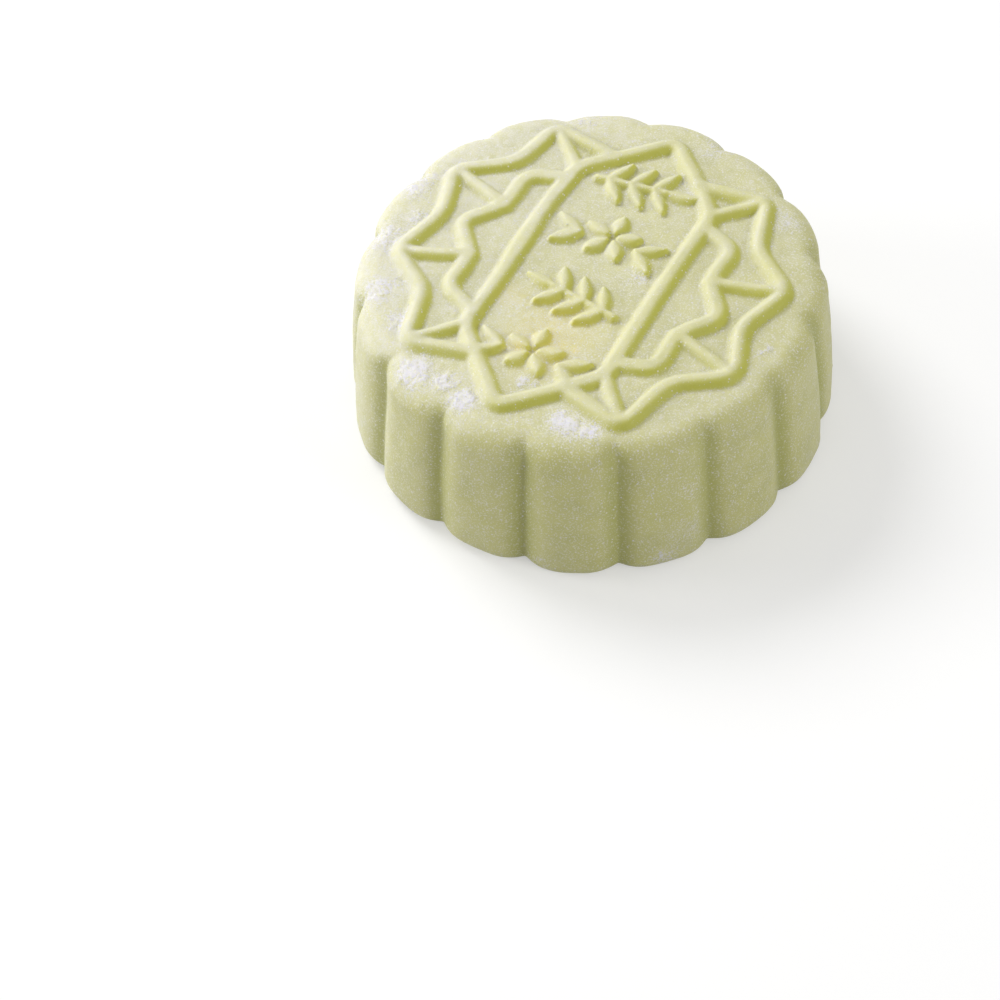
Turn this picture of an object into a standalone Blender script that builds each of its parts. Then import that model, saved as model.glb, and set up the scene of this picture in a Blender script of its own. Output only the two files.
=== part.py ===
"""A whole snow-skin mooncake, standing on its flat base.

One solid of dough: a round cake with sixteen lobes, a soft shoulder, and a raised moulding on top. The moulding
is a ten-pointed star band round a long six-sided panel, which holds two leaf sprigs and two blossoms.

The origin is the middle of the base, +Z is up, and +Y runs along the panel towards its top.
Run it with: blender --background --python part.py
"""

import math
from dataclasses import dataclass

import bmesh
import bpy
from mathutils import Vector
from mathutils.geometry import delaunay_2d_cdt

# The pressed cake, in metres. BASE_RADIUS drives every size across the cake.
BASE_RADIUS = 0.0325
TOP_RADIUS = 0.952 * BASE_RADIUS  # at the crests, where the shoulder begins
EDGE_HEIGHT = 0.0224  # where the shoulder ends and the top begins
BASE_FILLET = 0.0022
SHOULDER = 0.0036
BULGE = 0.0002
DOME = 0.0003  # how far the top's middle stands above its edge
LOBES = 16
GROOVE_DEPTH = 0.030  # as a share of the crest radius

# The moulding's ridges
RIDGE_HALF_WIDTH = 0.041 * BASE_RADIUS
RIDGE_HEIGHT = 0.0011
RIDGE_CREST = 0.4  # a ridge is flat over this share of its half width
SPOKE_HALF_WIDTH = 0.036 * BASE_RADIUS
SPOKE_HEIGHT = 0.0010

# The star band: its points lie on ten rays, and its notches half-way between them
STAR_POINTS = 10
STAR_TIP = 0.785 * BASE_RADIUS
STAR_LONG_TIP = 0.81 * BASE_RADIUS  # the tips next to the panel's ends
STAR_NOTCH = 0.665 * BASE_RADIUS
BAND_TIP = 0.58 * BASE_RADIUS
BAND_NOTCH = 0.485 * BASE_RADIUS
CORNER_CUT = 0.055 * BASE_RADIUS  # where a rounded corner leaves its straight runs

# The panel and the places of its four motifs along it
PANEL_HALF_WIDTH = 0.308 * BASE_RADIUS
PANEL_CORNER = 0.475 * BASE_RADIUS
PANEL_END = 0.785 * BASE_RADIUS
BAND_START = 0.40 * BASE_RADIUS  # how far up the panel's side the inner band leaves it
SPRIG_PLACES = (0.50 * BASE_RADIUS, -0.15 * BASE_RADIUS)
BLOSSOM_PLACES = (0.185 * BASE_RADIUS, -0.48 * BASE_RADIUS)

# The leaves and petals
LEAF_HEIGHT = 0.0009
LEAF_CREST = 0.3
LEAF_LENGTH = 0.125 * BASE_RADIUS
LEAF_HALF_WIDTH = 0.035 * BASE_RADIUS
LEAF_NARROWEST = 0.3  # at its ends, as a share of its half width
STEM_START = Vector((-0.205, -0.040)) * BASE_RADIUS
STEM_END = Vector((0.085, 0.005)) * BASE_RADIUS
STEM_HALF_WIDTH = 0.023 * BASE_RADIUS
LEAF_PAIRS = 3
LEAF_TURN = 56  # degrees between a stem and its leaves
PETALS = 5
PETAL_START = 0.026 * BASE_RADIUS  # from the blossom's middle
PETAL_LENGTH = 0.088 * BASE_RADIUS
PETAL_HALF_WIDTH = 0.040 * BASE_RADIUS
SIDE_LEAF_FOOT = Vector((0.120, -0.030)) * BASE_RADIUS
SIDE_LEAF_TURNS = (28, -38)  # degrees above and below the way out to the side

# How finely the solid is faceted
FOOT_SHARE = 1.1  # the line round a stroke's feet runs this share of the half width out, clear of its flanks
COLUMNS_PER_LOBE = 8
ARC_STEPS = 3
SHOULDER_STEPS = 4
SIDE_STEPS = 3
CORNER_STEPS = 3
LEAF_STEPS = 4
CAP_STEPS = 3
DOME_RINGS = (0.2 * BASE_RADIUS, 0.5 * BASE_RADIUS)  # radii of the free points that carry the dome
DOME_COLUMNS = 12
MERGE_DISTANCE = 6e-4 * BASE_RADIUS
SHARP_ANGLE = 32  # degrees

SKIN_COLOUR = (0.62, 0.66, 0.36, 1.0)
SKIN_ROUGHNESS = 0.7


@dataclass
class Stroke:
    """A raised line of the moulding: a ridge, stem, leaf or petal."""

    line: list
    widths: list  # the half width at each point of the line
    height: float
    crest: float  # the stroke is flat over this share of its half width
    closed: bool = False


def clear_scene():
    for obj in list(bpy.data.objects):
        bpy.data.objects.remove(obj)


# ---------------------------------------------------------------- the plain cake


def lobe_share(angle):
    """The share of the crest radius that the cake reaches at this angle: 1 on a lobe's crest, least in a groove."""
    half = math.pi / LOBES
    away = abs((angle + half) % (2 * half) - half) / half
    return 1 - GROOVE_DEPTH * away**2


def side_profile():
    """(radius, height) at a crest, from the base's flat up to where the shoulder is nearly level."""
    points = []
    for i in range(ARC_STEPS + 1):
        turn = math.pi / 2 * i / ARC_STEPS
        radius = BASE_RADIUS - BASE_FILLET * (1 - math.sin(turn))
        points.append((radius, BASE_FILLET * (1 - math.cos(turn))))
    shoulder_start = EDGE_HEIGHT - SHOULDER
    for i in range(1, SIDE_STEPS + 1):
        up = i / SIDE_STEPS
        radius = BASE_RADIUS + (TOP_RADIUS - BASE_RADIUS) * up + BULGE * math.sin(math.pi * up)
        points.append((radius, BASE_FILLET + (shoulder_start - BASE_FILLET) * up))
    for i in range(1, SHOULDER_STEPS):
        turn = math.pi / 2 * i / SHOULDER_STEPS
        radius = TOP_RADIUS - SHOULDER * (1 - math.cos(turn))
        points.append((radius, shoulder_start + SHOULDER * math.sin(turn)))
    return points


def plain_top(x, y):
    """The height of the top without its moulding, inside the shoulder's last ring."""
    radius = math.hypot(x, y) / lobe_share(math.atan2(y, x))
    level = TOP_RADIUS - SHOULDER
    dome = DOME * (1 - min(radius / level, 1) ** 2)
    over = max(radius - level, 0)
    return EDGE_HEIGHT + dome - SHOULDER + math.sqrt(SHOULDER**2 - over**2)


# ---------------------------------------------------------------- the moulding's lines


def polar(radius, degrees):
    turn = math.radians(degrees)
    return Vector((radius * math.cos(turn), radius * math.sin(turn)))


def across_mirrored(point):
    return Vector((-point.x, point.y))


def along_mirrored(point):
    return Vector((point.x, -point.y))


def rounded(points, closed=False):
    """The line through these points with each corner rounded off."""
    count = len(points)
    line = []
    for i, corner in enumerate(points):
        if not closed and i in (0, count - 1):
            line.append(corner)
            continue
        before = points[i - 1] - corner
        after = points[(i + 1) % count] - corner
        start = corner + before.normalized() * min(CORNER_CUT, before.length / 2)
        end = corner + after.normalized() * min(CORNER_CUT, after.length / 2)
        for step in range(CORNER_STEPS + 1):
            t = step / CORNER_STEPS
            line.append(start * (1 - t) ** 2 + corner * (2 * t * (1 - t)) + end * t**2)
    return line


def ridge(points, closed=False):
    return Stroke(points, [RIDGE_HALF_WIDTH] * len(points), RIDGE_HEIGHT, RIDGE_CREST, closed)


def spoke(start, end):
    return Stroke([start, end], [SPOKE_HALF_WIDTH] * 2, SPOKE_HEIGHT, RIDGE_CREST)


def panel_ridge():
    upper = [
        Vector((PANEL_HALF_WIDTH, PANEL_CORNER)),
        Vector((0, PANEL_END)),
        Vector((-PANEL_HALF_WIDTH, PANEL_CORNER)),
    ]
    lower = [-point for point in upper]
    return ridge(rounded(upper + lower, closed=True), closed=True)


def panel_side_at(degrees):
    """Where the ray at this angle meets the slanting side of the panel's upper right end."""
    end = Vector((0, PANEL_END))
    ray = polar(1, degrees)
    run = Vector((PANEL_HALF_WIDTH, PANEL_CORNER)) - end
    share = end.cross(ray) / ray.cross(run)
    return end + run * share


def right_hand_strokes():
    """What lies to the right of the panel: the outer star, the inner band and the spokes between them."""
    step = 360 / STAR_POINTS
    rays = [90 - step * i for i in range(1, STAR_POINTS // 2)]
    reaches = [STAR_LONG_TIP] + [STAR_TIP] * (len(rays) - 2) + [STAR_LONG_TIP]
    tips = [polar(reach, ray) for reach, ray in zip(reaches, rays)]

    outer = [panel_side_at(90 - step / 2), tips[0]]
    for tip, ray in zip(tips[1:], rays):
        outer += [polar(STAR_NOTCH, ray - step / 2), tip]
    outer.append(along_mirrored(outer[0]))

    band_start = Vector((PANEL_HALF_WIDTH, BAND_START))
    notches = [polar(BAND_NOTCH, ray) for ray in rays[1:-1]]
    band = [band_start]
    for i, ray in enumerate(rays[:-1]):
        band.append(polar(BAND_TIP, ray - step / 2))
        band += notches[i : i + 1]
    band.append(along_mirrored(band_start))

    corner = Vector((PANEL_HALF_WIDTH, PANEL_CORNER))
    inner_ends = [corner] + notches + [along_mirrored(corner)]
    starts = [tip - tip.normalized() * CORNER_CUT for tip in tips]
    spokes = [spoke(start, end) for start, end in zip(starts, inner_ends)]
    return [ridge(rounded(outer)), ridge(rounded(band))] + spokes


def leaf(foot, degrees, length=LEAF_LENGTH, half_width=LEAF_HALF_WIDTH):
    """A leaf or petal: a short straight stroke, widest in its middle and narrow at both ends."""
    line, widths = [], []
    for step in range(LEAF_STEPS + 1):
        t = step / LEAF_STEPS
        line.append(foot + polar(length * t, degrees))
        widths.append(half_width * (LEAF_NARROWEST + (1 - LEAF_NARROWEST) * math.sin(math.pi * t)))
    return Stroke(line, widths, LEAF_HEIGHT, LEAF_CREST)


def sprig(centre):
    """A straight stem with pairs of leaves along it and one leaf at its end."""
    run = STEM_END - STEM_START
    direction = math.degrees(math.atan2(run.y, run.x))
    stem = [centre + STEM_START, centre + STEM_END]
    strokes = [Stroke(stem, [STEM_HALF_WIDTH] * 2, LEAF_HEIGHT, LEAF_CREST)]
    for i in range(LEAF_PAIRS):
        foot = centre + STEM_START + run * ((i + 0.5) / LEAF_PAIRS)
        strokes.append(leaf(foot, direction + LEAF_TURN))
        strokes.append(leaf(foot, direction - LEAF_TURN))
    strokes.append(leaf(centre + STEM_END, direction))
    return strokes


def blossom(centre):
    """Petals round a small gap, with two leaves out to each side."""
    strokes = []
    for i in range(PETALS):
        ray = 90 + 360 / PETALS * i
        foot = centre + polar(PETAL_START, ray)
        strokes.append(leaf(foot, ray, PETAL_LENGTH, PETAL_HALF_WIDTH))
    for turn in SIDE_LEAF_TURNS:
        strokes.append(leaf(centre + SIDE_LEAF_FOOT, turn))
        strokes.append(leaf(centre + across_mirrored(SIDE_LEAF_FOOT), 180 - turn))
    return strokes


def flipped(strokes):
    """The same strokes turned over to the panel's other side."""
    return [
        Stroke([across_mirrored(p) for p in s.line], s.widths, s.height, s.crest, s.closed)
        for s in strokes
    ]


def moulding():
    """Every stroke on the top."""
    right = right_hand_strokes()
    strokes = [panel_ridge()] + right + flipped(right)
    strokes += sprig(Vector((0, SPRIG_PLACES[0])))
    strokes += flipped(sprig(Vector((0, SPRIG_PLACES[1]))))
    for place in BLOSSOM_PLACES:
        strokes += blossom(Vector((0, place)))
    return strokes


# ---------------------------------------------------------------- the moulding's surface


def segments(stroke):
    count = len(stroke.line)
    for i in range(count if stroke.closed else count - 1):
        j = (i + 1) % count
        yield stroke.line[i], stroke.line[j], stroke.widths[i], stroke.widths[j]


def stroke_height(stroke, point):
    """How far one stroke stands up at this point."""
    best = 0.0
    for start, end, start_width, end_width in segments(stroke):
        run = end - start
        share = min(max((point - start).dot(run) / run.length_squared, 0), 1)
        away = (point - start - run * share).length
        width = start_width + (end_width - start_width) * share
        slope = (1 - away / width) / (1 - stroke.crest)
        best = max(best, stroke.height * min(max(slope, 0), 1))
    return best


def direction_at(stroke, i):
    """The unit vector along the stroke's line at its point number i."""
    line, count = stroke.line, len(stroke.line)
    if stroke.closed:
        return (line[(i + 1) % count] - line[i - 1]).normalized()
    return (line[min(i + 1, count - 1)] - line[max(i - 1, 0)]).normalized()


def beside(stroke, share):
    """The stroke's line moved to its left by this share of its half width."""
    moved = []
    for i, point in enumerate(stroke.line):
        along = direction_at(stroke, i)
        left = Vector((-along.y, along.x))
        moved.append(point + left * (share * stroke.widths[i]))
    return moved


def cap(stroke, i, share):
    """Points of a half circle round one end of the stroke, from its left to its right as seen looking outwards."""
    outward = direction_at(stroke, i) * (-1 if i == 0 else 1)
    left = Vector((-outward.y, outward.x))
    reach = share * stroke.widths[i]
    turns = [math.pi * step / CAP_STEPS for step in range(1, CAP_STEPS)]
    return [stroke.line[i] + (left * math.cos(t) + outward * math.sin(t)) * reach for t in turns]


def contours(stroke):
    """The closed lines that the faceted surface follows: the stroke's feet and the edges of its crest."""
    shares = (stroke.crest, FOOT_SHARE)
    if stroke.closed:
        return [beside(stroke, side * share) for share in shares for side in (-1, 1)]
    last = len(stroke.line) - 1
    return [
        beside(stroke, share)
        + cap(stroke, last, share)
        + beside(stroke, -share)[::-1]
        + cap(stroke, 0, share)
        for share in shares
    ]


def top_triangles(rim):
    """Points and triangles of the top inside the rim, with an edge along every contour of the moulding."""
    strokes = moulding()
    points, edges = [], []
    loops = [rim] + [line for stroke in strokes for line in contours(stroke)]
    for loop in loops:
        first, count = len(points), len(loop)
        points += [point / BASE_RADIUS for point in loop]
        edges += [(first + i, first + (i + 1) % count) for i in range(count)]
    for radius in DOME_RINGS:
        for i in range(DOME_COLUMNS):
            points.append(polar(radius / BASE_RADIUS, 360 * (i + 0.5) / DOME_COLUMNS))
    made = delaunay_2d_cdt(points, edges, [], 1, MERGE_DISTANCE / BASE_RADIUS)
    flat, faces = made[0], made[2]
    surface = []
    for point in flat:
        spot = Vector(point) * BASE_RADIUS
        height = max(stroke_height(stroke, spot) for stroke in strokes)
        surface.append((spot.x, spot.y, plain_top(spot.x, spot.y) + height))
    return surface, faces


# ---------------------------------------------------------------- the solid


def add_ring(bm, radius, z):
    columns = LOBES * COLUMNS_PER_LOBE
    ring = []
    for i in range(columns):
        angle = 2 * math.pi * i / columns
        reach = radius * lobe_share(angle)
        ring.append(bm.verts.new((reach * math.cos(angle), reach * math.sin(angle), z)))
    return ring


def build_mooncake():
    bm = bmesh.new()
    rings = [add_ring(bm, radius, z) for radius, z in side_profile()]
    for low, high in zip(rings, rings[1:]):
        for i in range(len(low)):
            j = (i + 1) % len(low)
            bm.faces.new((low[i], low[j], high[j], high[i]))
    bm.faces.new(reversed(rings[0]))

    rim = rings[-1]
    surface, faces = top_triangles([Vector(vert.co[:2]) for vert in rim])
    on_top = [bm.verts.new(point) for point in surface]
    for face in faces:
        bm.faces.new([on_top[i] for i in face])
    seam = [vert for vert in on_top if vert.is_boundary]
    bmesh.ops.remove_doubles(bm, verts=rim + seam, dist=MERGE_DISTANCE)
    bmesh.ops.recalc_face_normals(bm, faces=bm.faces)

    mesh = bpy.data.meshes.new("mooncake")
    bm.to_mesh(mesh)
    bm.free()
    mesh.shade_smooth()
    mesh.set_sharp_from_angle(angle=math.radians(SHARP_ANGLE))
    obj = bpy.data.objects.new("mooncake", mesh)
    bpy.context.scene.collection.objects.link(obj)
    return obj


def skin_material():
    material = bpy.data.materials.new("snow_skin")
    material.use_nodes = True
    shader = material.node_tree.nodes["Principled BSDF"]
    shader.inputs["Base Color"].default_value = SKIN_COLOUR
    shader.inputs["Roughness"].default_value = SKIN_ROUGHNESS
    shader.inputs["Metallic"].default_value = 0.0
    return material


def main():
    clear_scene()
    mooncake = build_mooncake()
    mooncake.data.materials.append(skin_material())


main()
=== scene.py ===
"""The looks of a snow-skin mooncake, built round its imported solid.

The solid is replaced by a finely modelled skin: a soft, slightly uneven cake with lobed sides and a rounded
moulding on top. Rice flour lies over it as a thin film, as patches that stand a little proud, and as loose
grains.
"""

import cmath
import itertools
import math

import bpy
import numpy as np
from mathutils import Matrix, Vector


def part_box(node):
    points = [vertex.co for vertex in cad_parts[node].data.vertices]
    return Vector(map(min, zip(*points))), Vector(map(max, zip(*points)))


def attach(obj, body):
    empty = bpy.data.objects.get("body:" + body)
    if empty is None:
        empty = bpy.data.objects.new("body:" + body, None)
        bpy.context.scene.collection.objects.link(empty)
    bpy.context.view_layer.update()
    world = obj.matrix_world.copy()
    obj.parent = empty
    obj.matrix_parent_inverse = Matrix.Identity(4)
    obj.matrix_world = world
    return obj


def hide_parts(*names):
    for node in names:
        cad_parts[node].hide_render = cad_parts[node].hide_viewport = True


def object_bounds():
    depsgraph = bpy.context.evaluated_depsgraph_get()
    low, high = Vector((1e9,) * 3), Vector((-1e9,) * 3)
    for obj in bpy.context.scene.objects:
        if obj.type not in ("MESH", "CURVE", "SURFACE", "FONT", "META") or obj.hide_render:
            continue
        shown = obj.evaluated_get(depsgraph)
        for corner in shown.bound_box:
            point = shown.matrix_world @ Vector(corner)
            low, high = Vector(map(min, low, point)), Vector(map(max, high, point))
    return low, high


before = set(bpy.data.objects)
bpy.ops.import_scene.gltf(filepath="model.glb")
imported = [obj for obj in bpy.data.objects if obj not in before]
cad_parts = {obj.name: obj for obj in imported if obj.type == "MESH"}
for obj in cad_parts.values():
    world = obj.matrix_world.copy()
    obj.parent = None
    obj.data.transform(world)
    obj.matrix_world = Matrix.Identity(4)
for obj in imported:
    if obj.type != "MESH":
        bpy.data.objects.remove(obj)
CAD_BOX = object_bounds()
LOW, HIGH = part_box("mooncake")
MM = 0.001

# ---------------------------------------------------------------- sizes, in metres

# The cake. The solid's box gives its widest radius and its height.
BASE_RADIUS = (HIGH.x - LOW.x) / 2
TOP_RADIUS = 0.952 * BASE_RADIUS
RIDGE_HEIGHT = 1.1 * MM
DOME = 0.3 * MM
EDGE_HEIGHT = HIGH.z - RIDGE_HEIGHT - 0.2 * MM
BASE_FILLET = 1.9 * MM
SHOULDER = 3.6 * MM
BULGE = 0.2 * MM
LEVEL = TOP_RADIUS - SHOULDER
LOBES = 16
GROOVE_DEPTH = 0.050  # as a share of the crest radius
GROOVE_POWER = 3.2  # 2 gives lobes with a parabola's section, and more flatter lobes with narrower grooves
GROOVE_ROUNDING = 0.05  # as a share of half a lobe's width
TOP_GROOVE_SHARE = 0.60  # how much of the groove is left where the top begins
BOX_MARGIN = 0.05 * MM  # the skin stays this far inside the solid's box, for the flour on it

# The moulding
RIDGE_HALF_WIDTH = 0.043 * BASE_RADIUS
SPOKE_HALF_WIDTH = 0.037 * BASE_RADIUS
SPOKE_HEIGHT = 1.0 * MM
RIDGE_POWER = 2.05  # 2 gives a parabola's section, and more a flatter crest with steeper flanks
STROKE_BLEND = 0.50 * MM  # how softly strokes flow into each other
FOOT_BLEND = 0.42 * MM  # and into the ground
STAR_POINTS = 10
STAR_TIP = 0.785 * BASE_RADIUS
STAR_LONG_TIP = 0.81 * BASE_RADIUS
STAR_NOTCH = 0.665 * BASE_RADIUS
BAND_TIP = 0.58 * BASE_RADIUS
BAND_NOTCH = 0.485 * BASE_RADIUS
CORNER_CUT = 0.065 * BASE_RADIUS
CORNER_STEPS = 6
PANEL_HALF_WIDTH = 0.308 * BASE_RADIUS
PANEL_CORNER = 0.475 * BASE_RADIUS
PANEL_END = 0.785 * BASE_RADIUS
BAND_START = 0.40 * BASE_RADIUS

# The motifs in the panel
SPRIG_PLACES = (0.50 * BASE_RADIUS, -0.15 * BASE_RADIUS)
BLOSSOM_PLACES = (0.185 * BASE_RADIUS, -0.48 * BASE_RADIUS)
LEAF_HEIGHT = 0.9 * MM
LEAF_LENGTH = 0.125 * BASE_RADIUS
LEAF_HALF_WIDTH = 0.037 * BASE_RADIUS
LEAF_NARROWEST = 0.4
LEAF_STEPS = 8
STEM_START = complex(-0.205, -0.040) * BASE_RADIUS
STEM_END = complex(0.085, 0.005) * BASE_RADIUS
STEM_HALF_WIDTH = 0.025 * BASE_RADIUS
LEAF_PAIRS = 3
LEAF_TURN = 56
PETALS = 5
PETAL_START = 0.028 * BASE_RADIUS
PETAL_LENGTH = 0.086 * BASE_RADIUS
PETAL_HALF_WIDTH = 0.041 * BASE_RADIUS
SIDE_LEAF_FOOT = complex(0.120, -0.030) * BASE_RADIUS
SIDE_LEAF_TURNS = (28, -38)

# How finely the skin is meshed
DISC_CELLS = 216  # across the top; the side has four times as many columns
SHOULDER_RINGS = 14
SIDE_RINGS = 34
FILLET_RINGS = 6
BASE_RINGS = (0.8, 0.45, 0.15)  # as shares of the radius

# Hand-made unevenness: (feature size, height) of each layer
WARP = 0.28 * MM  # how far the moulding's lines stray sideways
WARP_SIZE = 7 * MM
SKIN_LAYERS = ((14 * MM, 0.26 * MM), (5 * MM, 0.11 * MM), (1.6 * MM, 0.03 * MM))
GROUND_GRAIN = (0.55 * MM, 0.035 * MM)
FLOUR_THICKNESS = 0.16 * MM
FLOUR_LUMP_SIZE = 0.6 * MM

# Patches of flour: (bearing in degrees from +X, share of the radius, spread, strength) on the top ...
TOP_PATCHES = (
    (-116, 0.85, 2.6 * MM, 1.0),
    (-108, 0.80, 1.8 * MM, 0.9),
    (-99, 0.82, 1.8 * MM, 1.0),
    (-70, 0.78, 2.2 * MM, 1.0),
    (-63, 0.83, 1.7 * MM, 0.9),
    (-86, 0.63, 1.1 * MM, 0.9),
    (-4, 0.79, 0.6 * MM, 0.9),
    (-147, 0.85, 3.2 * MM, 0.75),
    (-166, 0.86, 3.0 * MM, 0.75),
    (-134, 0.80, 2.0 * MM, 0.7),
    (-176, 0.77, 2.0 * MM, 0.65),
    (172, 0.86, 2.8 * MM, 0.75),
    (160, 0.77, 1.8 * MM, 0.6),
    (12, 0.20, 1.6 * MM, 0.5),
    (74, 0.60, 2.2 * MM, 0.45),
    (80, 0.86, 2.6 * MM, 0.45),
    (45, 0.83, 2.2 * MM, 0.55),
    (118, 0.87, 2.4 * MM, 0.5),
)
# ... and on the side: (bearing, height, spread, strength)
SIDE_PATCHES = (
    (-46, 2.6 * MM, 2.0 * MM, 0.55),
    (-39, 14 * MM, 2.4 * MM, 0.30),
    (-41, 6 * MM, 2.6 * MM, 0.35),
    (-75, 2 * MM, 1.8 * MM, 0.35),
    (-172, 13 * MM, 3.0 * MM, 0.40),
    (150, 7 * MM, 3.2 * MM, 0.45),
    (120, 15 * MM, 2.6 * MM, 0.40),
    (95, 4 * MM, 2.6 * MM, 0.45),
    (62, 12 * MM, 3.0 * MM, 0.35),
    (25, 6 * MM, 2.6 * MM, 0.40),
    (5, 16 * MM, 2.0 * MM, 0.30),
)
# Where the filling shows through the skin: (x, y) shares of the radius, spread, strength
FILLING_SPOTS = (
    (0.02, -0.38, 6.0 * MM, 0.55),
    (-0.06, -0.48, 1.2 * MM, 0.9),
    (0.14, -0.40, 0.9 * MM, 0.8),
    (-0.20, -0.26, 2.4 * MM, 0.35),
)

FILM_BEARING = 178  # degrees; the side that most of the thin film of flour lies on
PAINTED_LIGHT_BEARING = 163  # degrees; the side the key lamp lights the skin from, which the painted light and shade on the skin follow
PAINTED_LIGHT_ELEVATION = 45
FILM_LEAST = 0.60  # the film's share on the other side

CREASE_SHADE_EDGES = (0.55, 0.95)  # a groove's painted shade starts and is full this far from a lobe's crest
CREASE_SHADE_RADII = (0.86, 0.93)  # and this far out, as shares of the radius

GRAINS = 9000
GRAIN_RADII = (0.04 * MM, 0.12 * MM)
GRAIN_SUNK = 0.45  # how deep a grain sits, as a share of its radius
SEED = 7


# ---------------------------------------------------------------- small tools


def noise(points, size, seed):
    """Smooth noise from -1 to 1 at each point, with features of this size."""
    cells = 32
    lattice = np.random.default_rng(seed).uniform(-1, 1, (cells, cells, cells))
    place = points / size
    low = np.floor(place).astype(int)
    t = place - low
    t = t * t * (3 - 2 * t)
    total = np.zeros(len(points))
    for corner in itertools.product((0, 1), repeat=3):
        weight = np.prod(np.where(corner, t, 1 - t), axis=1)
        index = (low + corner) % cells
        total += weight * lattice[index[:, 0], index[:, 1], index[:, 2]]
    return total


def smooth_step(value, start, end):
    t = np.clip((value - start) / (end - start), 0, 1)
    return t * t * (3 - 2 * t)


def smooth_max(a, b, reach):
    """The larger of two heights, with a fillet where they are within this reach of each other."""
    near = np.clip(1 - np.abs(a - b) / reach, 0, None)
    return np.maximum(a, b) + near**2 * reach / 4


def polar(radius, degrees):
    return cmath.rect(radius, math.radians(degrees))


def across_mirrored(point):
    return complex(-point.real, point.imag)


# ---------------------------------------------------------------- the moulding's strokes


def stroke(line, widths, height):
    return {"line": line, "widths": widths, "height": height}


def ridge(line):
    return stroke(line, [RIDGE_HALF_WIDTH] * len(line), RIDGE_HEIGHT)


def rounded(points, closed=False):
    """The line through these points with each corner rounded off; a closed one ends where it starts."""
    count = len(points)
    line = []
    for i, corner in enumerate(points):
        if not closed and i in (0, count - 1):
            line.append(corner)
            continue
        before = points[i - 1] - corner
        after = points[(i + 1) % count] - corner
        start = corner + before / abs(before) * min(CORNER_CUT, abs(before) / 2)
        end = corner + after / abs(after) * min(CORNER_CUT, abs(after) / 2)
        for step in range(CORNER_STEPS + 1):
            t = step / CORNER_STEPS
            line.append(start * (1 - t) ** 2 + corner * (2 * t * (1 - t)) + end * t**2)
    if closed:
        line.append(line[0])
    return line


def panel_ridge():
    upper = [
        complex(PANEL_HALF_WIDTH, PANEL_CORNER),
        complex(0, PANEL_END),
        complex(-PANEL_HALF_WIDTH, PANEL_CORNER),
    ]
    return ridge(rounded(upper + [-point for point in upper], closed=True))


def panel_side_at(degrees):
    """Where the ray at this angle meets the slanting side of the panel's upper right end."""
    end = complex(0, PANEL_END)
    run = complex(PANEL_HALF_WIDTH, PANEL_CORNER) - end
    ray = polar(1, degrees)
    share = (end.conjugate() * ray).imag / (ray.conjugate() * run).imag
    return end + run * share


def right_hand_strokes():
    """What lies to the right of the panel: the outer star, the inner band and the spokes between them."""
    step = 360 / STAR_POINTS
    rays = [90 - step * i for i in range(1, STAR_POINTS // 2)]
    reaches = [STAR_LONG_TIP] + [STAR_TIP] * (len(rays) - 2) + [STAR_LONG_TIP]
    tips = [polar(reach, ray) for reach, ray in zip(reaches, rays)]

    outer = [panel_side_at(90 - step / 2), tips[0]]
    for tip, ray in zip(tips[1:], rays):
        outer += [polar(STAR_NOTCH, ray - step / 2), tip]
    outer.append(outer[0].conjugate())

    band_start = complex(PANEL_HALF_WIDTH, BAND_START)
    notches = [polar(BAND_NOTCH, ray) for ray in rays[1:-1]]
    band = [band_start]
    for i, ray in enumerate(rays[:-1]):
        band.append(polar(BAND_TIP, ray - step / 2))
        band += notches[i : i + 1]
    band.append(band_start.conjugate())

    corner = complex(PANEL_HALF_WIDTH, PANEL_CORNER)
    strokes = [ridge(rounded(outer)), ridge(rounded(band))]
    for tip, end in zip(tips, [corner] + notches + [corner.conjugate()]):
        start = tip - tip / abs(tip) * CORNER_CUT / 2
        strokes.append(stroke([start, end], [SPOKE_HALF_WIDTH] * 2, SPOKE_HEIGHT))
    return strokes


def leaf(foot, degrees, length=LEAF_LENGTH, half_width=LEAF_HALF_WIDTH):
    """A leaf or petal: a short stroke, widest in its middle and narrow at both ends."""
    line, widths = [], []
    for step in range(LEAF_STEPS + 1):
        t = step / LEAF_STEPS
        line.append(foot + polar(length * t, degrees))
        widths.append(half_width * (LEAF_NARROWEST + (1 - LEAF_NARROWEST) * math.sin(math.pi * t)))
    return stroke(line, widths, LEAF_HEIGHT)


def sprig(centre):
    """A stem with pairs of leaves along it and one leaf at its end."""
    run = STEM_END - STEM_START
    direction = math.degrees(cmath.phase(run))
    stem = [centre + STEM_START, centre + STEM_END]
    strokes = [stroke(stem, [STEM_HALF_WIDTH] * 2, LEAF_HEIGHT)]
    for i in range(LEAF_PAIRS):
        foot = centre + STEM_START + run * ((i + 0.5) / LEAF_PAIRS)
        strokes.append(leaf(foot, direction + LEAF_TURN))
        strokes.append(leaf(foot, direction - LEAF_TURN))
    strokes.append(leaf(centre + STEM_END, direction))
    return strokes


def blossom(centre):
    """Petals round a small gap, with two leaves out to each side."""
    strokes = []
    for i in range(PETALS):
        ray = 90 + 360 / PETALS * i
        strokes.append(leaf(centre + polar(PETAL_START, ray), ray, PETAL_LENGTH, PETAL_HALF_WIDTH))
    for turn in SIDE_LEAF_TURNS:
        strokes.append(leaf(centre + SIDE_LEAF_FOOT, turn))
        strokes.append(leaf(centre + across_mirrored(SIDE_LEAF_FOOT), 180 - turn))
    return strokes


def flipped(strokes):
    return [dict(s, line=[across_mirrored(point) for point in s["line"]]) for s in strokes]


def moulding():
    right = right_hand_strokes()
    strokes = [panel_ridge()] + right + flipped(right)
    strokes += sprig(complex(0, SPRIG_PLACES[0]))
    strokes += flipped(sprig(complex(0, SPRIG_PLACES[1])))
    for place in BLOSSOM_PLACES:
        strokes += blossom(complex(0, place))
    return strokes


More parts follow.
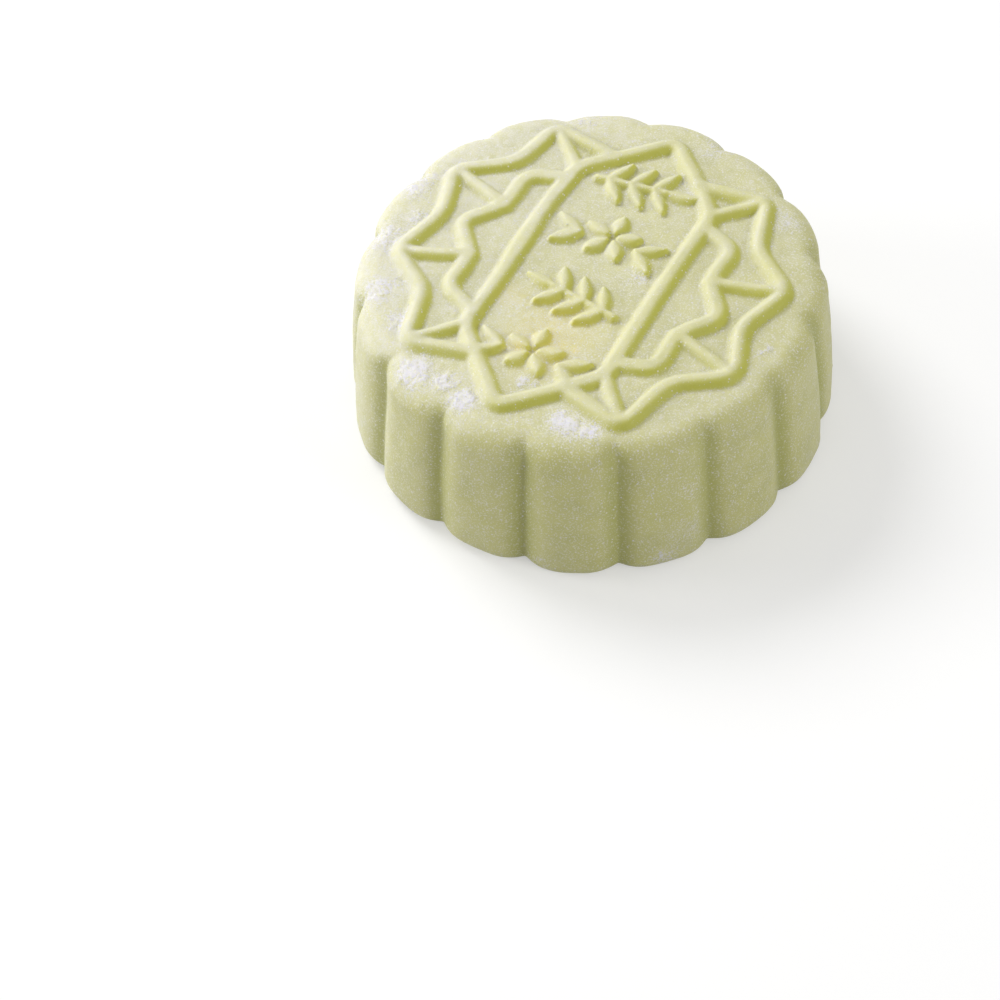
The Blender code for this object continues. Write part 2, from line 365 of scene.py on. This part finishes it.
def stroke_height(s, spots):
    """One stroke's height at these spots; it falls below 0 beside the stroke."""
    line, widths = s["line"], s["widths"]
    nearest = np.full(len(spots), np.inf)
    for start, end, start_width, end_width in zip(line, line[1:], widths, widths[1:]):
        run = end - start
        share = np.clip(((spots - start) * np.conj(run)).real / abs(run) ** 2, 0, 1)
        away = np.abs(spots - start - run * share)
        nearest = np.minimum(nearest, away / (start_width + (end_width - start_width) * share))
    return s["height"] * (1 - np.minimum(nearest, 2) ** RIDGE_POWER)


def relief(x, y):
    """The moulding's height over the plain top at these places."""
    flat = np.column_stack([x, y, np.zeros_like(x)])
    stray = noise(flat, WARP_SIZE, SEED + 1) + 1j * noise(flat, WARP_SIZE, SEED + 2)
    spots = x + 1j * y + WARP * stray
    strength = 1 + 0.08 * noise(flat, 6 * MM, SEED + 3)
    height = np.full(len(x), -RIDGE_HEIGHT)
    for s in moulding():
        height = smooth_max(height, stroke_height(s, spots) * strength, STROKE_BLEND)
    return smooth_max(height, np.zeros_like(height), FOOT_BLEND)


# ---------------------------------------------------------------- the skin


def from_crest(angle):
    """How far an angle is from the nearest lobe's crest: 0 there, and 1 in the middle of a groove."""
    half = math.pi / LOBES
    return np.abs((angle + half) % (2 * half) - half) / half


def lobe_share(angle, strength):
    """The share of the crest radius that the cake reaches at this angle."""
    away = from_crest(angle)
    soft = 1 - np.sqrt((1 - away) ** 2 + GROOVE_ROUNDING**2)
    return 1 - GROOVE_DEPTH * strength * np.clip(soft, 0, None) ** GROOVE_POWER


def disc_grid():
    """Points of the unit disc as a square grid pressed into it, row by row."""
    side = np.linspace(-1, 1, DISC_CELLS + 1)
    u, v = np.meshgrid(side, side)
    wide = np.abs(u) >= np.abs(v)
    radius = np.where(wide, u, v)
    with np.errstate(divide="ignore", invalid="ignore"):
        turn = np.where(wide, v / u, 2 - u / v) * math.pi / 4
    turn = np.where(radius == 0, 0, turn)
    return (radius * np.cos(turn)).ravel(), (radius * np.sin(turn)).ravel()


def disc_border():
    """The indices of the grid's border points, anticlockwise from the corner at -135 degrees."""
    n = DISC_CELLS
    index = np.arange((n + 1) ** 2).reshape(n + 1, n + 1)
    return np.concatenate([index[0, :-1], index[:-1, -1], index[-1, :0:-1], index[:0:-1, 0]])


def side_profile():
    """Each ring below the top: crest radius, height, the normal's outward and upward shares, groove share."""
    rings = []
    shoulder_start = EDGE_HEIGHT - SHOULDER
    for i in range(1, SHOULDER_RINGS + 1):
        turn = math.pi / 2 * i / SHOULDER_RINGS
        out, up = math.sin(turn), math.cos(turn)
        strength = TOP_GROOVE_SHARE + (1 - TOP_GROOVE_SHARE) * float(smooth_step(turn, 0.2, 1.5))
        rings.append((LEVEL + SHOULDER * out, shoulder_start + SHOULDER * up, out, up, strength))
    for i in range(1, SIDE_RINGS + 1):
        down = i / SIDE_RINGS
        radius = TOP_RADIUS + (BASE_RADIUS - TOP_RADIUS) * down + BULGE * math.sin(math.pi * down)
        rings.append((radius, shoulder_start + (BASE_FILLET - shoulder_start) * down, 1, 0, 1))
    for i in range(1, FILLET_RINGS + 1):
        turn = math.pi / 2 * i / FILLET_RINGS
        out, up = math.cos(turn), -math.sin(turn)
        radius = BASE_RADIUS - BASE_FILLET * (1 - out)
        rings.append((radius, BASE_FILLET * (1 + up), out, up, 1))
    for share in BASE_RINGS:
        rings.append(((BASE_RADIUS - BASE_FILLET) * share, 0, 0, -1, share**4))
    return rings


def plain_skin():
    """The smooth lobed cake: its points, their normals, its faces, and how many points the top has."""
    x, y = disc_grid()
    radius, angle = np.hypot(x, y), np.arctan2(y, x)
    strength = TOP_GROOVE_SHARE * radius**6
    reach = LEVEL * radius * lobe_share(angle, strength)
    z = EDGE_HEIGHT + DOME * (1 - radius**2)
    points = [np.column_stack([reach * np.cos(angle), reach * np.sin(angle), z])]
    normals = [np.tile((0.0, 0.0, 1.0), (len(x), 1))]

    n = DISC_CELLS
    index = np.arange((n + 1) ** 2).reshape(n + 1, n + 1)
    quads = [np.stack([index[:-1, :-1], index[:-1, 1:], index[1:, 1:], index[1:, :-1]], -1).reshape(-1, 4)]
    above = disc_border()
    around = angle[above]
    first = len(x)
    for crest, height, out, up, strength in side_profile():
        reach = crest * lobe_share(around, strength)
        level = np.full(len(around), height)
        points.append(np.column_stack([reach * np.cos(around), reach * np.sin(around), level]))
        upward = np.full(len(around), up)
        normals.append(np.column_stack([out * np.cos(around), out * np.sin(around), upward]))
        ring = first + np.arange(len(around))
        quads.append(np.column_stack([above, ring, np.roll(ring, -1), np.roll(above, -1)]))
        above = ring
        first += len(around)
    middle = first
    points.append(np.zeros((1, 3)))
    normals.append(np.array([[0.0, 0.0, -1.0]]))
    fan = np.column_stack([above, np.full(len(above), middle), np.roll(above, -1)])
    faces = np.concatenate(quads).tolist() + fan.tolist()
    return np.concatenate(points), np.concatenate(normals), faces, len(x)


def patch_cover(points):
    """How much flour the patches put on each point, from 0 to 1."""
    warp = np.column_stack([noise(points, 1.5 * MM, SEED + i) for i in (21, 22, 23)]) * 0.7 * MM
    warp += np.column_stack([noise(points, 0.5 * MM, SEED + i) for i in (24, 25, 26)]) * 0.3 * MM
    strayed = points + warp
    cover = np.zeros(len(points))
    centres = []
    for bearing, share, spread, strength in TOP_PATCHES:
        spot = polar(share * BASE_RADIUS, bearing)
        centres.append(((spot.real, spot.imag, EDGE_HEIGHT), spread, strength))
    for bearing, height, spread, strength in SIDE_PATCHES:
        spot = polar(BASE_RADIUS, bearing)
        centres.append(((spot.real, spot.imag, height), spread, strength))
    for centre, spread, strength in centres:
        away = np.linalg.norm(strayed - np.array(centre), axis=1) / spread
        cover = np.maximum(cover, strength * (1 - smooth_step(away, 0.25, 1.55)))
    return cover


def towards_key_light(skin):
    """How squarely each point of the skin faces the key lamp, for the painted light and shade on the skin."""
    normals = np.empty(len(skin.data.vertices) * 3)
    skin.data.vertex_normals.foreach_get("vector", normals)
    bearing, rise = math.radians(PAINTED_LIGHT_BEARING), math.radians(PAINTED_LIGHT_ELEVATION)
    level = math.cos(rise)
    return normals.reshape(-1, 3) @ (level * math.cos(bearing), level * math.sin(bearing), math.sin(rise))


def flour_film_and_painted_light(points, squarely):
    """How much of the thin film of flour lies on each point: most on one side of the cake, and, as painted
    light, more on faces turned towards the key lamp.
    """
    side = np.array([math.cos(math.radians(FILM_BEARING)), math.sin(math.radians(FILM_BEARING))])
    towards = 0.5 + 0.5 * (points[:, :2] @ side) / BASE_RADIUS
    patchy = 0.5 + 0.5 * noise(points, 5 * MM, SEED + 31)
    amount = FILM_LEAST + (1 - FILM_LEAST) * smooth_step(towards, 0.35, 0.95)
    # Painted light: more film on faces towards the key lamp, less on those turned away
    return (0.35 + 0.55 * smooth_step(squarely, 0.15, 0.80)) * amount * (0.68 + 0.32 * patchy)


def crease_shade_share(points):
    """Painted shade in the grooves between the lobes: 1 there, falling to 0 on the lobes and on the top."""
    away = from_crest(np.arctan2(points[:, 1], points[:, 0]))
    outside_top = smooth_step(np.hypot(points[:, 0], points[:, 1]) / BASE_RADIUS, *CREASE_SHADE_RADII)
    return smooth_step(away, *CREASE_SHADE_EDGES) * outside_top


def filling_tint(points):
    tint = np.zeros(len(points))
    for x, y, spread, strength in FILLING_SPOTS:
        away = np.hypot(points[:, 0] - x * BASE_RADIUS, points[:, 1] - y * BASE_RADIUS) / spread
        tint = np.maximum(tint, strength * np.exp(-(away**2)))
    return tint * (points[:, 2] > EDGE_HEIGHT - MM)


def kept_inside(points):
    """The points, with those that would pass the solid's box eased back inside it."""
    limits = np.array([BASE_RADIUS, BASE_RADIUS, HIGH.z]) - BOX_MARGIN
    return np.sign(points) * -smooth_max(-np.abs(points), -limits, 0.3 * MM)


def mesh_object(name, points, faces):
    mesh = bpy.data.meshes.new(name)
    mesh.from_pydata(points.tolist(), [], faces)
    mesh.update()
    mesh.shade_smooth()
    obj = bpy.data.objects.new(name, mesh)
    bpy.context.scene.collection.objects.link(obj)
    return obj


def set_attribute(obj, name, values):
    attribute = obj.data.attributes.new(name, "FLOAT", "POINT")
    attribute.data.foreach_set("value", values.astype(np.float32))


def make_skin():
    points, normals, faces, top_count = plain_skin()
    raised = np.zeros(len(points))
    top = points[:top_count]
    raised[:top_count] = relief(top[:, 0], top[:, 1])
    ridge_share = np.clip(raised / RIDGE_HEIGHT, 0, 1)

    up = np.clip(normals[:, 2], 0, 1)
    patches = patch_cover(points)
    shown = points[:, 2] > 0.3 * MM
    ground = 1 - smooth_step(ridge_share, 0.15, 0.6)
    lumps = 0.5 + 0.5 * noise(points, FLOUR_LUMP_SIZE, SEED + 5)
    flour = patches * (0.35 + 0.65 * ground)
    clumped = smooth_step(flour + 0.5 * (lumps - 0.5), 0.35, 0.8)

    push = raised
    for i, (size, height) in enumerate(SKIN_LAYERS):
        push = push + height * noise(points, size, SEED + 10 + i) * np.where(shown, 1, 0)
    size, height = GROUND_GRAIN
    push = push + height * noise(points, size, SEED + 15) * ground * up
    push = push + FLOUR_THICKNESS * clumped * lumps
    skin_points = kept_inside(points + normals * push[:, None])

    skin = mesh_object("mooncake_skin", skin_points, faces)
    set_attribute(skin, "ridge", ridge_share)
    set_attribute(skin, "flour", flour)
    # How squarely the skin faces the key lamp; it places the painted light and shade below
    squarely = towards_key_light(skin)
    on_ridge = smooth_step(ridge_share, 0.02, 0.15)
    # Painted highlight: ridge faces turned towards the key lamp, made whiter in the material
    set_attribute(skin, "crest", ridge_share * smooth_step(squarely, 0.58, 0.92))
    # Painted shade: ridge flanks turned away from the key lamp, made darker and more saturated in the
    # material
    set_attribute(skin, "painted_flank_shade", on_ridge * (1 - smooth_step(squarely, 0.02, 0.66)))
    # Painted shade in the grooves between the lobes
    set_attribute(skin, "painted_crease_shade", crease_shade_share(points))
    # Flour film, with painted light: lighter on faces towards the key lamp
    set_attribute(skin, "film", flour_film_and_painted_light(points, squarely))
    set_attribute(skin, "tint", filling_tint(points) * (1 - 0.7 * ridge_share))
    return skin, skin_points, normals, flour, ground


# ---------------------------------------------------------------- materials


class Shader:
    """A material's node tree, with short calls that add nodes and link them."""

    def __init__(self, name):
        self.material = bpy.data.materials.new(name)
        self.material.use_nodes = True
        self.tree = self.material.node_tree
        self.principled = self.tree.nodes["Principled BSDF"]
        self.place = self.add("ShaderNodeTexCoord").outputs["Object"]

    def add(self, kind, inputs=(), **settings):
        node = self.tree.nodes.new(kind)
        for key, value in settings.items():
            setattr(node, key, value)
        for key, value in dict(inputs).items():
            self.feed(node.inputs[key], value)
        return node

    def feed(self, socket, value):
        if isinstance(value, bpy.types.NodeSocket):
            self.tree.links.new(value, socket)
        else:
            socket.default_value = value

    def attribute(self, name):
        return self.add("ShaderNodeAttribute", attribute_name=name).outputs["Fac"]

    def math(self, operation, a, b=0.0):
        return self.add("ShaderNodeMath", {0: a, 1: b}, operation=operation).outputs[0]

    def noise(self, size, detail=2.0):
        """Noise from about 0 to 1, with features of this size."""
        inputs = {"Vector": self.place, "Scale": 1 / size, "Detail": detail}
        return self.add("ShaderNodeTexNoise", inputs).outputs["Fac"]

    def step(self, value, start, end):
        """0 below start, 1 above end, and smooth between."""
        inputs = {"Value": value, "From Min": start, "From Max": end}
        node = self.add("ShaderNodeMapRange", inputs, interpolation_type="SMOOTHSTEP")
        return node.outputs["Result"]

    def mix(self, share, a, b):
        node = self.add("ShaderNodeMix", data_type="RGBA")
        self.feed(node.inputs[0], share)
        self.feed(node.inputs[6], a)
        self.feed(node.inputs[7], b)
        return node.outputs[2]


SKIN_RIDGE = (0.650, 0.635, 0.240, 1)
# Painted shade on ridge flanks turned away from the key lamp
FLANK_SHADE_COLOUR = (0.570, 0.570, 0.090, 1)
SKIN_GROUND = (0.600, 0.585, 0.210, 1)
# A deeper tone for random mottling, and also painted shade in the grooves between the lobes
DEEP_TONE_AND_CREASE_SHADE = (0.430, 0.435, 0.120, 1)
FILLING_YELLOW = (0.800, 0.660, 0.100, 1)
# The flour film's white, also used for a painted highlight on ridge faces towards the key lamp
FILM_AND_HIGHLIGHT_WHITE = (0.820, 0.805, 0.740, 1)
SPECK_WHITE = (0.780, 0.765, 0.660, 1)
FLOUR_WHITE = (0.840, 0.825, 0.840, 1)
GRAIN_DARK = (0.78, 0.775, 0.78, 1)
GRAIN_LIGHT = (0.86, 0.855, 0.87, 1)
SKIN_ROUGHNESS = 0.50
FLOUR_ROUGHNESS = 0.90
SKIN_SPECULAR = 0.35
GRAIN_SPECULAR = 0.2
SKIN_SUBSURFACE = 0.5
SKIN_SUBSURFACE_RADIUS = (1.0, 0.95, 0.35)
SKIN_SUBSURFACE_SCALE = 1.1 * MM


def skin_material():
    shader = Shader("snow_skin")
    ridge_share = shader.attribute("ridge")
    flour = shader.attribute("flour")
    film = shader.attribute("film")
    tint = shader.attribute("tint")
    crest = shader.attribute("crest")
    painted_flank_shade = shader.attribute("painted_flank_shade")
    painted_crease_shade = shader.attribute("painted_crease_shade")
    # Painted shade: ridge flanks turned from the key lamp and the grooves between the lobes lose their film
    # and specks of flour, so they show darker
    painted_shade = shader.math("MAXIMUM", shader.math("MULTIPLY", painted_flank_shade, 0.9), shader.math("MULTIPLY", painted_crease_shade, 0.5))
    outside_painted_shade = shader.math("SUBTRACT", 1.0, painted_shade)

    base = shader.mix(shader.step(ridge_share, 0.1, 0.8), SKIN_GROUND, SKIN_RIDGE)
    mottle = shader.step(shader.noise(4 * MM, 3), 0.42, 0.72)
    base = shader.mix(shader.math("MULTIPLY", mottle, 0.35), base, DEEP_TONE_AND_CREASE_SHADE)
    # Painted shade: the grooves between the lobes are darkened
    base = shader.mix(shader.math("MULTIPLY", painted_crease_shade, 0.85), base, DEEP_TONE_AND_CREASE_SHADE)
    # Painted shade: ridge flanks turned away from the key lamp are darker and more saturated
    base = shader.mix(shader.math("MULTIPLY", painted_flank_shade, 0.9), base, FLANK_SHADE_COLOUR)
    base = shader.mix(tint, base, FILLING_YELLOW)

    # A thin film of flour, cloudy at a millimetre; it is lighter on faces towards the key lamp, which is
    # painted light, and ridge faces towards the key lamp get a painted highlight
    cloud = shader.noise(1.2 * MM, 3)
    cloudy = shader.math("ADD", 0.66, shader.math("MULTIPLY", shader.step(cloud, 0.25, 0.75), 0.34))
    film_and_highlight_share = shader.math("MULTIPLY", shader.math("MULTIPLY", film, cloudy), 0.92)
    # Painted highlight: ridge faces towards the key lamp get more of this white
    crest_highlight_strength = shader.math("ADD", 0.35, shader.math("MULTIPLY", film, 0.55))
    film_and_highlight_share = shader.math("MAXIMUM", film_and_highlight_share, shader.math("MULTIPLY", crest, crest_highlight_strength))
    # Painted shade takes the film off shaded ridge flanks and the grooves
    film_and_highlight_share = shader.math("MULTIPLY", film_and_highlight_share, outside_painted_shade)
    colour = shader.mix(film_and_highlight_share, base, FILM_AND_HIGHLIGHT_WHITE)

    # Fine specks wherever flour has touched, fewer on the ridges, and taken off by painted shade on shaded
    # ridge flanks and in the grooves
    fine = shader.noise(0.22 * MM, 3)
    clean = shader.math("SUBTRACT", 1.0, shader.math("MULTIPLY", ridge_share, 0.7))
    amount = shader.math("MULTIPLY", shader.math("ADD", shader.math("MULTIPLY", film, 0.7), 0.35), clean)
    amount = shader.math("ADD", shader.math("MULTIPLY", amount, cloudy), flour)
    limit = shader.math("SUBTRACT", 0.62, shader.math("MULTIPLY", amount, 0.17))
    specks = shader.math("MULTIPLY", shader.step(shader.math("SUBTRACT", fine, limit), -0.02, 0.10), 0.85)
    specks = shader.math("MULTIPLY", specks, outside_painted_shade)
    colour = shader.mix(specks, colour, SPECK_WHITE)

    # Larger specks, about a quarter of a millimetre across
    cell = shader.add("ShaderNodeTexVoronoi", {"Vector": shader.place, "Scale": 1 / (0.6 * MM)})
    dot = shader.math("SUBTRACT", 1.0, shader.step(cell.outputs["Distance"], 0.12, 0.26))
    chosen = shader.add("ShaderNodeSeparateColor", {"Color": cell.outputs["Color"]}).outputs[0]
    rarity = shader.math("SUBTRACT", 0.86, shader.math("MULTIPLY", amount, 0.45))
    dots = shader.math("MULTIPLY", dot, shader.step(shader.math("SUBTRACT", chosen, rarity), 0.0, 0.05))
    dots = shader.math("MULTIPLY", dots, 0.8)
    colour = shader.mix(dots, colour, FLOUR_WHITE)

    # The dense patches, broken up at their edges
    crumbly = shader.math("ADD", shader.noise(0.5 * MM, 4), shader.math("MULTIPLY", fine, 0.4))
    dense = shader.math("ADD", flour, shader.math("MULTIPLY", shader.math("SUBTRACT", crumbly, 0.7), 2.2))
    cover = shader.math("MULTIPLY", shader.step(dense, 0.38, 1.00), 0.95)
    colour = shader.mix(cover, colour, FLOUR_WHITE)

    grain = shader.math("ADD", shader.math("MULTIPLY", fine, 0.5), shader.math("MULTIPLY", dots, 0.5))
    grain = shader.math("ADD", grain, shader.math("MULTIPLY", specks, 0.4))
    grain = shader.math("ADD", grain, shader.math("MULTIPLY", crumbly, shader.math("MULTIPLY", cover, 2.0)))
    bump = shader.add("ShaderNodeBump", {"Height": grain, "Strength": 0.6, "Distance": 0.06 * MM})
    principled = shader.principled
    shader.feed(principled.inputs["Base Color"], colour)
    shader.feed(principled.inputs["Normal"], bump.outputs["Normal"])
    powdery = shader.math("MAXIMUM", cover, specks)
    rougher = shader.math("MULTIPLY", powdery, FLOUR_ROUGHNESS - SKIN_ROUGHNESS)
    roughness = shader.math("ADD", SKIN_ROUGHNESS, rougher)
    shader.feed(principled.inputs["Roughness"], roughness)
    principled.inputs["Specular IOR Level"].default_value = SKIN_SPECULAR
    principled.inputs["Subsurface Weight"].default_value = SKIN_SUBSURFACE
    principled.inputs["Subsurface Radius"].default_value = SKIN_SUBSURFACE_RADIUS
    principled.inputs["Subsurface Scale"].default_value = SKIN_SUBSURFACE_SCALE
    return shader.material


def flour_material():
    shader = Shader("rice_flour")
    shade = shader.step(shader.noise(0.3 * MM), 0.3, 0.7)
    colour = shader.mix(shade, GRAIN_DARK, GRAIN_LIGHT)
    shader.feed(shader.principled.inputs["Base Color"], colour)
    rough = {"Height": shader.noise(0.05 * MM), "Strength": 0.4, "Distance": 0.01 * MM}
    bump = shader.add("ShaderNodeBump", rough)
    shader.feed(shader.principled.inputs["Normal"], bump.outputs["Normal"])
    shader.principled.inputs["Roughness"].default_value = FLOUR_ROUGHNESS
    shader.principled.inputs["Specular IOR Level"].default_value = GRAIN_SPECULAR
    return shader.material


# ---------------------------------------------------------------- loose grains of flour


def grain_shape():
    """A rough eight-sided grain of radius 1."""
    corners = [(1, 0, 0), (-1, 0, 0), (0, 1, 0), (0, -1, 0), (0, 0, 1), (0, 0, -1)]
    sides = []
    for a, b, c in itertools.product((0, 1), (2, 3), (4, 5)):
        face = (a, b, c)
        sides.append(face if (a + b + c) % 2 == 0 else (a, c, b))
    return np.array(corners, float), np.array(sides)


def make_grains(skin_points, normals, flour, ground):
    rng = np.random.default_rng(SEED)
    up = np.clip(normals[:, 2], 0, 1)
    weight = (0.05 + flour**1.5 + 0.10 * up * ground) * (skin_points[:, 2] > 0.8 * MM)
    chosen = rng.choice(len(skin_points), GRAINS, p=weight / weight.sum())
    shape, sides = grain_shape()
    radii = GRAIN_RADII[0] + (GRAIN_RADII[1] - GRAIN_RADII[0]) * rng.random(GRAINS) ** 2.5
    stray = rng.normal(0, 0.15 * MM, (GRAINS, 3))
    stray -= normals[chosen] * np.sum(stray * normals[chosen], axis=1)[:, None]
    centres = skin_points[chosen] + stray - normals[chosen] * radii[:, None] * GRAIN_SUNK
    squeeze = rng.uniform(0.7, 1.2, (GRAINS, 6, 1))
    corners = centres[:, None] + shape[None] * squeeze * radii[:, None, None]
    points = corners.reshape(-1, 3)
    low, high = np.array(CAD_BOX[0]), np.array(CAD_BOX[1])
    points = np.clip(points, low, high)
    faces = (sides[None] + 6 * np.arange(GRAINS)[:, None, None]).reshape(-1, 3)
    return mesh_object("flour_grains", points, faces.tolist())


# ---------------------------------------------------------------- the stage

CAMERA_AIM = Vector((-0.0485, -0.7143, 0)) * BASE_RADIUS
CAMERA_AZIMUTH = 31.596  # degrees; 0 looks along +Y
CAMERA_ELEVATION = 52.733
CAMERA_ROLL = -3.726
CAMERA_DISTANCE = 10.152 * BASE_RADIUS
CAMERA_LENS = 90.25  # mm, on Blender's 36 mm sensor

FLOOR_HALF = 1.5
FLOOR_LIGHTING = (0.55, 0.55, 0.54, 1)  # for the light that it throws back on the cake
FLOOR_SEEN = (0.60, 0.60, 0.60, 1)
FLOOR_GLOW = 0.42  # lifts the floor to near white where it is seen, and keeps a light shadow
WORLD_COLOUR = (1.0, 0.995, 0.98, 1)
WORLD_STRENGTH = 0.44
LAMP_DISTANCE = 0.9
# Each lamp: (name, azimuth and elevation in degrees, diameter, power in watts)
LAMPS = (
    ("key", -107, 44, 0.45, 5.0),
    ("left", -66, 14, 0.35, 2.8),
    ("right", 88, 24, 0.35, 1.9),
)


def direction(azimuth, elevation):
    """The unit vector from the object towards a viewer at this azimuth and elevation."""
    a, e = math.radians(azimuth), math.radians(elevation)
    return Vector((math.sin(a) * math.cos(e), -math.cos(a) * math.cos(e), math.sin(e)))


def facing(place, target, roll=0.0):
    """The transform of a camera or lamp at this place that points at the target."""
    back = (place - target).normalized()
    right = Vector((0, 0, 1)).cross(back).normalized()
    up = back.cross(right)
    turn = math.radians(roll)
    rolled_right = right * math.cos(turn) + up * math.sin(turn)
    rolled_up = up * math.cos(turn) - right * math.sin(turn)
    rotation = Matrix((rolled_right, rolled_up, back)).transposed()
    return Matrix.Translation(place) @ rotation.to_4x4()


def make_camera():
    data = bpy.data.cameras.new("camera")
    data.lens = CAMERA_LENS
    data.clip_start = 0.01
    camera = bpy.data.objects.new("camera", data)
    bpy.context.scene.collection.objects.link(camera)
    place = CAMERA_AIM + direction(CAMERA_AZIMUTH, CAMERA_ELEVATION) * CAMERA_DISTANCE
    camera.matrix_world = facing(place, CAMERA_AIM, CAMERA_ROLL)
    bpy.context.scene.camera = camera


def make_lamp(name, azimuth, elevation, size, power):
    data = bpy.data.lights.new(name, "AREA")
    data.shape = "DISK"
    data.size = size
    data.energy = power
    lamp = bpy.data.objects.new(name, data)
    bpy.context.scene.collection.objects.link(lamp)
    middle = Vector((0, 0, HIGH.z / 2))
    lamp.matrix_world = facing(middle + direction(azimuth, elevation) * LAMP_DISTANCE, middle)


def seen_directly(shader):
    """1 where a surface is seen, directly, by gloss or through glass, and 0 where it only lights others."""
    path = shader.add("ShaderNodeLightPath").outputs
    some = shader.math("MAXIMUM", path["Is Camera Ray"], path["Is Glossy Ray"])
    return shader.math("MAXIMUM", some, path["Is Transmission Ray"])


def make_floor():
    half = FLOOR_HALF
    points = np.array([(-half, -half, 0), (half, -half, 0), (half, half, 0), (-half, half, 0)])
    floor = mesh_object("floor", points, [(0, 1, 2, 3)])
    shader = Shader("pale_floor")
    seen = seen_directly(shader)
    colour = shader.mix(seen, FLOOR_LIGHTING, FLOOR_SEEN)
    shader.feed(shader.principled.inputs["Base Color"], colour)
    shader.principled.inputs["Roughness"].default_value = 0.9
    shader.principled.inputs["Specular IOR Level"].default_value = 0.0
    shader.principled.inputs["Emission Color"].default_value = (1, 1, 1, 1)
    shader.feed(shader.principled.inputs["Emission Strength"], shader.math("MULTIPLY", seen, FLOOR_GLOW))
    floor.data.materials.append(shader.material)


def make_world():
    world = bpy.data.worlds.new("studio")
    world.use_nodes = True
    background = world.node_tree.nodes["Background"]
    background.inputs["Color"].default_value = WORLD_COLOUR
    background.inputs["Strength"].default_value = WORLD_STRENGTH
    bpy.context.scene.world = world


def make_stage():
    make_camera()
    make_world()
    make_floor()
    for lamp in LAMPS:
        make_lamp(*lamp)
    bpy.context.scene.view_settings.view_transform = "Standard"


# ---------------------------------------------------------------- the whole


def main():
    skin, skin_points, normals, flour, ground = make_skin()
    skin.data.materials.append(skin_material())
    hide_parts("mooncake")
    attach(skin, "root")

    grains = make_grains(skin_points, normals, flour, ground)
    grains.data.materials.append(flour_material())
    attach(grains, "root")

    make_stage()


main()
